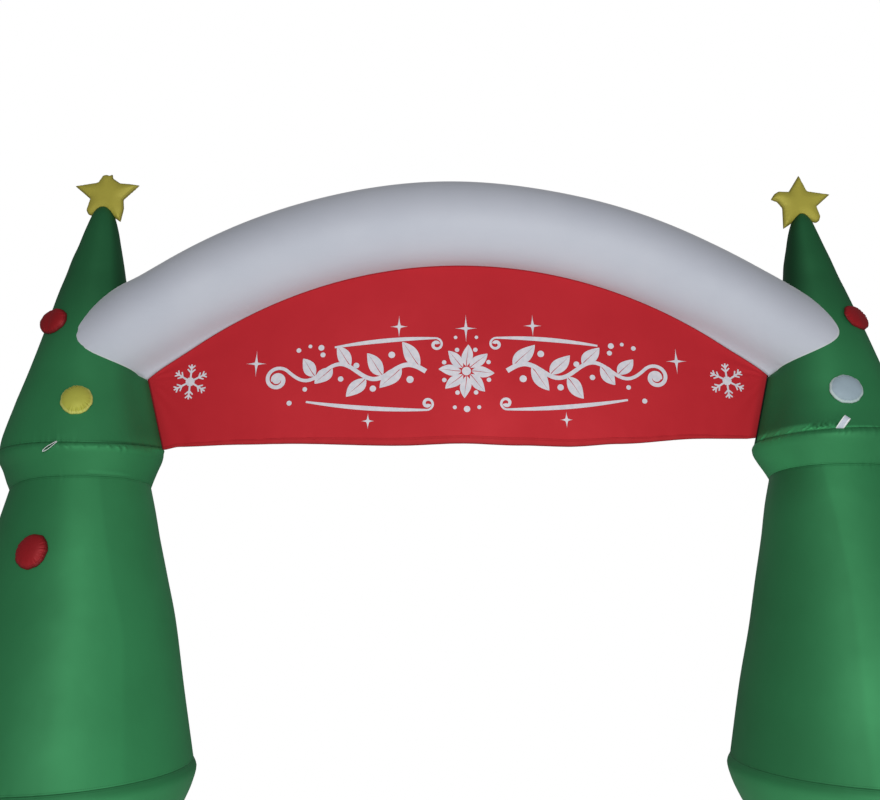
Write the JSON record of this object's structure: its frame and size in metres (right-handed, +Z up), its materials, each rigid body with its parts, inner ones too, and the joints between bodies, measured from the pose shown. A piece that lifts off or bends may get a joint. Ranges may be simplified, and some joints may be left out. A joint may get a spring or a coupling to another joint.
{
  "type": "inflatable arch",
  "caption": "Inflatable walk-through arch: two tiered conical trees carry a curved tube and a cloth banner hung below it.",
  "frame": {"origin": "on the ground, midway between the two tree bases", "axes": "+X from the left tree to the right tree as seen from the front, +Y towards the back, +Z up"},
  "size_m": [3.648, 1.104, 3.0449],
  "materials": {
    "green cloth": "coated polyester, slight sheen",
    "white cloth": "coated polyester, slight sheen",
    "red cloth": "coated polyester, slight sheen",
    "yellow cloth": "coated polyester, slight sheen",
    "webbing": "woven webbing, matte"
  },
  "bodies": {
    "root": {"left_tier_low": "green cloth", "left_band_mid": "green cloth", "left_tier_mid": "green cloth", "left_band_top": "green cloth", "left_tier_top": "green cloth", "left_star": "yellow cloth", "left_bauble_red_high": "red cloth", "left_bauble_yellow": "yellow cloth", "left_bauble_red_low": "red cloth", "left_tether_loop": "webbing", "right_tier_low": "green cloth", "right_band_mid": "green cloth", "right_tier_mid": "green cloth", "right_band_top": "green cloth", "right_tier_top": "green cloth", "right_star": "yellow cloth", "right_bauble_red": "red cloth", "right_bauble_white": "white cloth", "right_tether_loop": "webbing", "arch_tube": "white cloth", "banner": "red cloth"}
  },
  "joints": []
}
